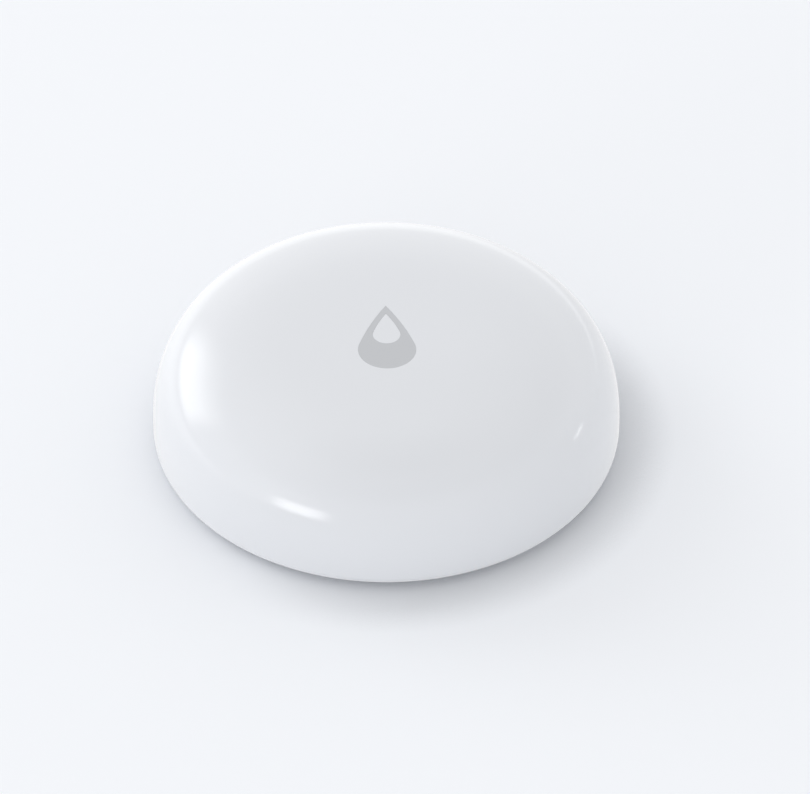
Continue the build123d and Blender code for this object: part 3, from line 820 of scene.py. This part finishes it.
    def build(self) -> None:
        """Build the whole studio."""
        self.build_floor()
        self.build_light()
        self.build_camera()
        bpy.context.scene.view_settings.view_transform = "Standard"
        LOG.info("studio: floor, sky, %d lamps and camera", len(self.lamps))


def as_piece(mesh: bmesh.types.BMesh, name: str) -> Piece:
    """Turn a bmesh into a linked object and free it.

    Args:
        mesh: The finished bmesh.
        name: Name of the object.

    Returns:
        The new object.
    """
    data = bpy.data.meshes.new(name)
    mesh.to_mesh(data)
    mesh.free()
    piece = bpy.data.objects.new(name, data)
    bpy.context.scene.collection.objects.link(piece)
    return piece


def apply_cut(piece: Piece, cutter: Piece) -> None:
    """Cut one closed piece out of another for good, and remove the cutter.

    Args:
        piece: Piece that is cut.
        cutter: Piece that is taken away from it.
    """
    cut = piece.modifiers.new("cut", "BOOLEAN")
    cut.operation = "DIFFERENCE"
    cut.solver = "EXACT"
    cut.object = cutter
    graph = bpy.context.evaluated_depsgraph_get()
    data = bpy.data.meshes.new_from_object(piece.evaluated_get(graph))
    piece.modifiers.clear()
    piece.data = data
    bpy.data.objects.remove(cutter)


@dataclass
class SubAssembly:
    """Group of the sensor's parts that are made and dressed together."""

    nodes: dict[str, Piece]

    def outfit(self) -> dict[str, Finish]:
        """Finish of each CAD part in the group."""
        raise NotImplementedError

    def dress(self) -> None:
        """Give each CAD part its finish."""
        for name, finish in self.outfit().items():
            slots = self.nodes[name].data.materials
            slots.clear()
            slots.append(finish.shared())
            LOG.info("%s wears %s", name, finish.name)

    def build(self) -> None:
        """Make and dress the whole group."""
        self.dress()


@dataclass
class Cover(SubAssembly):
    """Glossy pebble-shaped cover, which is the button too, with the grey drop sign let into its crown.

    Its shell replaces the CAD one with a much finer mesh, so that the long soft reflections stay smooth, and
    the edges round the drop sign are rounded over.
    """

    radius: float = 25 * MM
    height: float = 15 * MM
    widest_height: float = 2 * MM
    rim_height: float = 0.6 * MM
    rim_draw_in: float = 1.6 * MM
    side_wall: float = 2 * MM
    crown_wall: float = 1.5 * MM
    side_power: float = 4.3
    crown_power: float = 2.6
    outer_steps: int = 96
    inner_steps: int = 36
    rim_steps: int = 10
    around: int = 288
    drop_width: float = 6.1 * MM
    drop_length: float = 10.2 * MM
    drop_tip: float = 3.4 * MM
    drop_flank: float = 18
    flank_steps: int = 24
    bowl_steps: int = 40
    window_share: float = 0.48
    window_inset: float = 1.28 * MM
    pocket_depth: float = 0.4 * MM
    edge_round: float = 0.03 * MM
    edge_steps: int = 4
    hook_count: int = 4
    hook_half_angle: float = 8
    hook_steps: int = 10
    hook_arm: Place = (21 * MM, 22 * MM)
    hook_nose_radius: float = 20.275 * MM
    hook_nose: Place = (3.45 * MM, 4.55 * MM)
    hook_root: float = 0.9 * MM
    rib_count: int = 6
    rib_size: Triple = (11 * MM, 0.8 * MM, 1.85 * MM)
    post_radius: float = 2.2 * MM
    post_bottom: float = 10.14 * MM
    post_segments: int = 64
    weld_distance: float = 0.002 * MM
    sharp_angle: float = 10
    gloss: Finish = MouldedGloss("high_gloss_white", (0.702, 0.717, 0.748))
    sign: Finish = MouldedGloss("satin_sign_grey", (0.50, 0.512, 0.535), roughness=0.25)

    def outfit(self) -> dict[str, Finish]:
        """Finish of each CAD part in the group."""
        return {"drop_inlay": self.sign}

    def curve(self, radius: float, top: float, steps: int) -> list[Vector]:
        """Points of the pebble's curve in the XZ plane, from its widest circle to the middle of the crown.

        Args:
            radius: Radius of the widest circle.
            top: Height of the middle.
            steps: Number of steps along the curve.

        Returns:
            The points.
        """
        points = []
        for step in range(steps + 1):
            turn = math.pi / 4 * (1 - math.cos(math.pi * step / steps))
            across = math.cos(turn) ** (2 / self.side_power) if step < steps else 0.0
            up = math.sin(turn) ** (2 / self.crown_power)
            points.append(Vector((radius * across, 0.0, self.widest_height + (top - self.widest_height) * up)))
        return points

    def outline(self) -> list[Vector]:
        """Outline of the wall's section, from the crown's inside round the rim to the crown's outside.

        Returns:
            The points.
        """
        inside = self.curve(self.radius - self.side_wall, self.height - self.crown_wall, self.inner_steps)
        rim = [Vector((self.radius - self.side_wall, 0.0, self.rim_height))]
        for step in range(self.rim_steps):
            turn = math.pi / 2 * (1 - step / self.rim_steps)
            rim.append(Vector((self.radius - self.rim_draw_in * (1 - math.cos(turn)), 0.0,
                               self.widest_height - (self.widest_height - self.rim_height) * math.sin(turn))))
        return inside[::-1] + rim + self.curve(self.radius, self.height, self.outer_steps)

    def shell(self) -> Piece:
        """Turn the outline into the closed wall.

        Returns:
            The wall.
        """
        mesh = bmesh.new()
        dots = [mesh.verts.new(point) for point in self.outline()]
        lines = [mesh.edges.new(pair) for pair in zip(dots, dots[1:])]
        bmesh.ops.spin(mesh, geom=dots + lines, cent=(0, 0, 0), axis=(0, 0, 1), angle=math.tau,
                       steps=self.around, use_merge=True)
        bmesh.ops.remove_doubles(mesh, verts=mesh.verts, dist=self.weld_distance / 2)
        bmesh.ops.recalc_face_normals(mesh, faces=mesh.faces)
        return as_piece(mesh, "cover_shell")

    def drop_outline(self, mesh: bmesh.types.BMesh, width: float, tip: float, low: float) -> float:
        """Draw a water drop and fill it with one face.

        Args:
            mesh: Mesh that it is drawn in.
            width: Width of the drop.
            tip: Where its tip is along Y.
            low: Height of the drawing.

        Returns:
            Where the middle of the drop's bowl is along Y.
        """
        bowl = width / 2
        middle = tip - width * self.drop_length / self.drop_width + bowl
        flank = math.radians(self.drop_flank)
        outward = Vector((math.cos(flank), math.sin(flank), 0.0))
        side = Vector((0.0, middle, low)) + outward * bowl
        to_side = side - Vector((0.0, tip, low))
        bow = to_side.length_squared / (2 * to_side.dot(outward))
        centre = side - outward * bow
        reach = (Vector((0.0, tip, low)) - centre).angle(outward)
        start = mesh.verts.new(side)
        bmesh.ops.spin(mesh, geom=[start], cent=centre, axis=(0, 0, 1), angle=reach, steps=self.flank_steps)
        bmesh.ops.spin(mesh, geom=[start], cent=(0, middle, low), axis=(0, 0, -1), angle=math.pi / 2 + flank,
                       steps=self.bowl_steps)
        bmesh.ops.mirror(mesh, geom=mesh.verts[:] + mesh.edges[:], axis="X", merge_dist=self.weld_distance)
        bmesh.ops.remove_doubles(mesh, verts=mesh.verts, dist=self.weld_distance)
        bmesh.ops.contextual_create(mesh, geom=mesh.edges)
        return middle

    def drop_plug(self, name: str, width: float, tip: float, low: float, high: float, spread: float) -> Piece:
        """Upright plug in the shape of a water drop, which flares or narrows where it meets the crown.

        Args:
            name: Name of the plug.
            width: Width of the drop.
            tip: Where its tip is along Y.
            low: Height of its bottom.
            high: Height of its top.
            spread: How far it flares at the crown, or narrows where it is negative.

        Returns:
            The plug.
        """
        mesh = bmesh.new()
        middle = self.drop_outline(mesh, width, tip, low)
        levels = [(self.height - self.edge_round, 0.0)]
        for step in range(self.edge_steps):
            turn = math.pi / 2 * (step + 1) / self.edge_steps
            levels.append((self.height - self.edge_round * (1 - math.sin(turn)), spread * (1 - math.cos(turn))))
        levels.append((high, spread))
        about = Matrix.Translation((0.0, -middle, 0.0))
        bottom = top = mesh.faces[:]
        last_level, last_scale = low, 1.0
        for level, offset in levels:
            raised = bmesh.ops.extrude_face_region(mesh, geom=top)["geom"]
            if top is not bottom:
                bmesh.ops.delete(mesh, geom=top, context="FACES_ONLY")
            dots = [item for item in raised if isinstance(item, bmesh.types.BMVert)]
            top = [item for item in raised if isinstance(item, bmesh.types.BMFace)]
            scale = 1 + offset / (width / 2)
            bmesh.ops.translate(mesh, verts=dots, vec=(0.0, 0.0, level - last_level))
            bmesh.ops.scale(mesh, verts=dots, vec=(scale / last_scale, scale / last_scale, 1.0), space=about)
            last_level, last_scale = level, scale
        bmesh.ops.recalc_face_normals(mesh, faces=mesh.faces)
        return as_piece(mesh, name)

    def pocketed(self) -> Piece:
        """Cut the drop sign's pocket out of the shell and leave its window standing.

        Returns:
            The shell's object, with nothing live on it.
        """
        floor, above = self.height - self.pocket_depth, self.height + self.pocket_depth
        shell = self.shell()
        plug = self.drop_plug("drop_plug", self.drop_width, self.drop_tip, floor, above, self.edge_round)
        window = self.drop_plug("window_plug", self.drop_width * self.window_share,
                                self.drop_tip - self.window_inset, floor - self.pocket_depth,
                                above + self.pocket_depth, -self.edge_round)
        apply_cut(plug, window)
        apply_cut(shell, plug)
        return shell

    def hooks(self, mesh: bmesh.types.BMesh) -> None:
        """Add the snap arms with their noses.

        Args:
            mesh: Mesh that they are added to.
        """
        inner, outer = self.hook_arm
        share = (inner / (self.radius - self.side_wall)) ** self.side_power
        ceiling = self.widest_height + (self.height - self.crown_wall - self.widest_height) * (
            1 - share) ** (1 / self.crown_power)
        low, high = self.hook_nose
        half = math.radians(self.hook_half_angle)
        for number in range(self.hook_count):
            middle = math.tau * (number + 0.5) / self.hook_count
            for near, top in ((inner, ceiling + self.hook_root), (self.hook_nose_radius, high)):
                spots = ((near, 0, low), (outer, 0, low), (outer, 0, top), (near, 0, top))
                corners = [mesh.verts.new(spot) for spot in spots]
                face = mesh.faces.new(corners)
                turn = Matrix.Rotation(middle - half, 3, "Z")
                bmesh.ops.rotate(mesh, verts=corners, cent=(0, 0, 0), matrix=turn)
                bmesh.ops.spin(mesh, geom=[face, *face.edges, *corners], cent=(0, 0, 0), axis=(0, 0, 1),
                               angle=2 * half, steps=self.hook_steps)

    def ribs_and_post(self, mesh: bmesh.types.BMesh) -> None:
        """Add the crown's ribs and the post that presses the diaphragm.

        Args:
            mesh: Mesh that they are added to.
        """
        length, thickness, depth = self.rib_size
        top = self.height - self.crown_wall / 2
        for number in range(self.rib_count):
            turn = Matrix.Rotation(math.tau * number / self.rib_count, 4, "Z")
            place = turn @ Matrix.Translation((length / 2, 0, top - depth / 2)) @ Matrix.Diagonal(
                (length, thickness, depth, 1))
            bmesh.ops.create_cube(mesh, size=1, matrix=place)
        tall = top - self.post_bottom
        bmesh.ops.create_cone(mesh, cap_ends=True, segments=self.post_segments, radius1=self.post_radius,
                              radius2=self.post_radius, depth=tall,
                              matrix=Matrix.Translation((0, 0, self.post_bottom + tall / 2)))

    def build(self) -> None:
        """Dress the sign, build the cover and put it in place of the CAD one."""
        self.dress()
        inside = bmesh.new()
        self.hooks(inside)
        self.ribs_and_post(inside)
        bmesh.ops.recalc_face_normals(inside, faces=inside.faces)
        mesh = bmesh.new()
        for part in (self.pocketed(), as_piece(inside, "cover_fittings")):
            mesh.from_mesh(part.data)
            bpy.data.objects.remove(part)
        cover = as_piece(mesh, "glossy_cover")
        cover.data.shade_smooth()
        cover.data.set_sharp_from_angle(angle=math.radians(self.sharp_angle))
        cover.data.materials.append(self.gloss.shared())
        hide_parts("top_cover")
        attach(cover, "cover")
        LOG.info("glossy cover: %d faces", len(cover.data.polygons))


@dataclass
class BaseTray(SubAssembly):
    """Moulded tray that stands on two curved feet."""

    plastic: Finish = MouldedMatte("spark_eroded_base", from_screen(232, 233, 236))

    def outfit(self) -> dict[str, Finish]:
        """Finish of each CAD part in the group."""
        return {"base_housing": self.plastic}


@dataclass
class BatteryDoor(SubAssembly):
    """Round door with its coin slot, bayonet lugs and seal ring."""

    plastic: Finish = MouldedMatte("spark_eroded_door", from_screen(228, 229, 232), pit_size=0.18 * MM)
    seal: Finish = SEAL_RUBBER

    def outfit(self) -> dict[str, Finish]:
        """Finish of each CAD part in the group."""
        return {"battery_door": self.plastic, "door_seal": self.seal}


@dataclass
class CoinCell(SubAssembly):
    """Coin cell: steel can and cap, the ring between them and the pressed filling."""

    steel: Finish = Metal("nickelled_cell_steel", (0.60, 0.60, 0.61), grain=Grain.TURNED, roughness=0.22,
                          line_size=0.12 * MM, line_depth=0.002 * MM)
    gasket: Finish = MouldedMatte("gasket_nylon", from_screen(120, 120, 124), pit_size=0.08 * MM)
    filling: Finish = MouldedMatte("pressed_powder", from_screen(60, 60, 62), roughness=0.8, tint=0.7)

    def outfit(self) -> dict[str, Finish]:
        """Finish of each CAD part in the group."""
        return {"cell_can": self.steel, "cell_cap": self.steel, "cell_gasket": self.gasket,
                "cell_pellet": self.filling}


@dataclass
class WaterProbes(SubAssembly):
    """The two probe screws, with their seals, brass inserts and contact strips."""

    screw: Finish = Metal("turned_probe_steel", (0.62, 0.61, 0.59), grain=Grain.TURNED, centre=(17.4 * MM, 0.0))
    seal: Finish = SEAL_RUBBER
    insert: Finish = Metal("turned_brass", (0.72, 0.53, 0.24), grain=Grain.TURNED, centre=(17.4 * MM, 0.0),
                           line_size=0.1 * MM)
    strip: Finish = SPRING_STEEL

    def outfit(self) -> dict[str, Finish]:
        """Finish of each CAD part in the group."""
        return {"probe_screws": self.screw, "probe_seals": self.seal, "probe_inserts": self.insert,
                "probe_contacts": self.strip}


@dataclass(frozen=True)
class ChipKind:
    """One kind of small two-ended component on the board, with its places as shares of the board's radius."""

    length: float
    width: float
    height: float
    places: tuple[Place, ...]


@dataclass
class CircuitBoard(SubAssembly):
    """Round circuit board with its components, battery contacts and screws, and the solder that holds them."""

    radius: float = 18.1 * MM
    top: float = 6.9 * MM
    capacitors: ChipKind = ChipKind(1.6 * MM, 0.8 * MM, 0.8 * MM, (
        (-0.78, 0.17), (-0.50, -0.42), (-0.28, -0.50), (-0.75, -0.02), (0.30, 0.20), (0.30, 0.33),
        (0.58, 0.08), (0.58, -0.10)))
    resistors: ChipKind = ChipKind(1.6 * MM, 0.8 * MM, 0.45 * MM, (
        (0.42, -0.58), (0.20, -0.58), (-0.06, -0.58), (0.30, 0.46), (-0.28, 0.46), (-0.50, 0.46)))
    lamp: ChipKind = ChipKind(1.6 * MM, 0.8 * MM, 0.3 * MM, ((0.42, -0.42),))
    cap_length: float = 0.32 * MM
    cap_skin: float = 0.02 * MM
    edge_round: float = 0.03 * MM
    round_segments: int = 2
    solder_reach: float = 0.25 * MM
    solder_rise: float = 0.45
    solder_taper: float = 0.55
    radio_place: Place = (-0.50, 0.17)
    radio_size: float = 6 * MM
    radio_pads: int = 10
    radio_pad: Triple = (0.3 * MM, 0.36 * MM, 0.12 * MM)
    sharp_angle: float = 30
    lacquer: Finish = BoardLacquer("board_lacquer", from_screen(26, 92, 62))
    epoxy: Finish = MouldedMatte("moulded_epoxy", from_screen(40, 40, 43), pit_size=0.05 * MM,
                                 pit_depth=0.004 * MM)
    ceramic: Finish = MouldedMatte("capacitor_ceramic", from_screen(172, 138, 106), pit_size=0.04 * MM)
    resin: Finish = MouldedGloss("lamp_resin", from_screen(244, 242, 222), cloud_size=1.2 * MM, haze_size=0.2 * MM,
                                  ripple_size=0.4 * MM)
    lid: Finish = Metal("crystal_lid_steel", (0.66, 0.64, 0.60))
    trace: Finish = Metal("gold_plate", (0.82, 0.62, 0.28), roughness=0.24)
    spring: Finish = SPRING_STEEL
    solder: Finish = Metal("solder_tin", (0.70, 0.70, 0.71), roughness=0.2, line_size=0.15 * MM)
    screw: Finish = Metal("zinc_plate_board", (0.52, 0.52, 0.53), grain=Grain.TURNED, centre=(12.64 * MM, 4.6 * MM))

    def outfit(self) -> dict[str, Finish]:
        """Finish of each CAD part in the group."""
        return {"main_board": self.lacquer, "radio_chip": self.epoxy, "chip_resistors": self.epoxy,
                "chip_capacitors": self.ceramic, "crystal": self.lid, "indicator_led": self.resin,
                "antenna_trace": self.trace, "negative_spring": self.spring, "positive_clips": self.spring,
                "board_screws": self.screw}

    def ends(self, kind: ChipKind) -> list[tuple[float, float, int]]:
        """Where the ends of one kind of component are.

        Args:
            kind: Kind of component.

        Returns:
            X and Y of each end, and the side that it faces along X.
        """
        return [(self.radius * x + side * kind.length / 2, self.radius * y, side)
                for x, y in kind.places for side in (-1, 1)]

    def rounded(self, mesh: bmesh.types.BMesh, name: str) -> Piece:
        """Round all the edges of a mesh and turn it into a piece.

        Args:
            mesh: Mesh whose edges are rounded.
            name: Name of the piece.

        Returns:
            The piece.
        """
        bmesh.ops.bevel(mesh, geom=mesh.edges[:], offset=self.edge_round, affect="EDGES",
                        segments=self.round_segments, profile=0.5, material=-1)
        return as_piece(mesh, name)

    def end_caps(self) -> Piece:
        """Metal caps on the ends of the capacitors and resistors.

        Returns:
            The caps.
        """
        mesh = bmesh.new()
        for kind in (self.capacitors, self.resistors):
            size = (self.cap_length, kind.width + 2 * self.cap_skin, kind.height + self.cap_skin, 1)
            for x, y, side in self.ends(kind):
                middle = (x - side * (self.cap_length / 2 - self.cap_skin), y, self.top + size[2] / 2)
                bmesh.ops.create_cube(mesh, size=1, matrix=Matrix.Translation(middle) @ Matrix.Diagonal(size))
        return self.rounded(mesh, "component_end_caps")

    def blob(self, mesh: bmesh.types.BMesh, x: float, y: float, size: Triple) -> None:
        """Add a blob of solder: a low four-sided mound.

        Args:
            mesh: Mesh that it is added to.
            x: Its middle along X.
            y: Its middle along Y.
            size: Its length, width and height.
        """
        sides, corner = 4, math.sqrt(0.5)
        square_on = Matrix.Rotation(math.pi / sides, 4, "Z")
        place = Matrix.Translation((x, y, self.top + size[2] / 2)) @ Matrix.Diagonal((*size, 1)) @ square_on
        bmesh.ops.create_cone(mesh, cap_ends=True, segments=sides, radius1=corner,
                              radius2=corner * self.solder_taper, depth=1, matrix=place)

    def solder_joints(self) -> Piece:
        """Solder at the ends of the small components and round the radio chip.

        Returns:
            The solder.
        """
        mesh = bmesh.new()
        for kind in (self.capacitors, self.resistors, self.lamp):
            for x, y, _side in self.ends(kind):
                self.blob(mesh, x, y, (2 * self.solder_reach, kind.width + self.solder_reach,
                                       kind.height * self.solder_rise))
        middle_x, middle_y = (self.radius * share for share in self.radio_place)
        width, length, height = self.radio_pad
        pitch = self.radio_size / (self.radio_pads + 1)
        edge = self.radio_size / 2
        for number in range(self.radio_pads):
            along = pitch * (number + 1) - edge
            for side in (-1, 1):
                self.blob(mesh, middle_x + along, middle_y + side * edge, (width, 2 * length, height))
                self.blob(mesh, middle_x + side * edge, middle_y + along, (2 * length, width, height))
        return self.rounded(mesh, "solder_joints")

    def build(self) -> None:
        """Dress the board and add the end caps and the solder."""
        self.dress()
        for piece in (self.end_caps(), self.solder_joints()):
            piece.data.shade_smooth()
            piece.data.set_sharp_from_angle(angle=math.radians(self.sharp_angle))
            piece.data.materials.append(self.solder.shared())
            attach(piece, "base")
            LOG.info("%s: %d faces", piece.name, len(piece.data.polygons))


@dataclass
class PressSwitch(SubAssembly):
    """Push switch under the middle of the cover."""

    body: Finish = MouldedMatte("switch_nylon_black", from_screen(44, 44, 46), pit_size=0.06 * MM)
    plunger: Finish = MouldedMatte("plunger_nylon", from_screen(225, 222, 214), pit_size=0.06 * MM)
    dome: Finish = Metal("dome_steel", (0.66, 0.64, 0.60), grain=Grain.TURNED, roughness=0.2)
    plate: Finish = SPRING_STEEL

    def outfit(self) -> dict[str, Finish]:
        """Finish of each CAD part in the group."""
        return {"switch_body": self.body, "switch_plunger": self.plunger, "switch_dome": self.dome,
                "switch_frame": self.plate, "switch_terminals": self.plate}


@dataclass
class SealingStack(SubAssembly):
    """Silicone diaphragm, the ring that clamps it and the ring's screws."""

    silicone: Finish = SoftRubber("clear_silicone", from_screen(222, 226, 230), inner_glow=0.6)
    plastic: Finish = MouldedMatte("spark_eroded_ring", from_screen(222, 224, 227), pit_size=0.16 * MM)
    screw: Finish = Metal("zinc_plate_clamp", (0.52, 0.52, 0.53), grain=Grain.TURNED, centre=(12.02 * MM, 12.02 * MM))

    def outfit(self) -> dict[str, Finish]:
        """Finish of each CAD part in the group."""
        return {"sealing_diaphragm": self.silicone, "clamp_ring": self.plastic, "clamp_screws": self.screw}


def main() -> None:
    """Dress the frame and build the studio."""
    logging.basicConfig(level=logging.INFO)
    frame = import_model()
    for group in (Cover, BaseTray, BatteryDoor, CoinCell, WaterProbes, CircuitBoard, PressSwitch, SealingStack):
        group(frame["nodes"]).build()
        LOG.info("%s built", group.__name__)
    Studio().build()


if __name__ == "__main__":
    main()
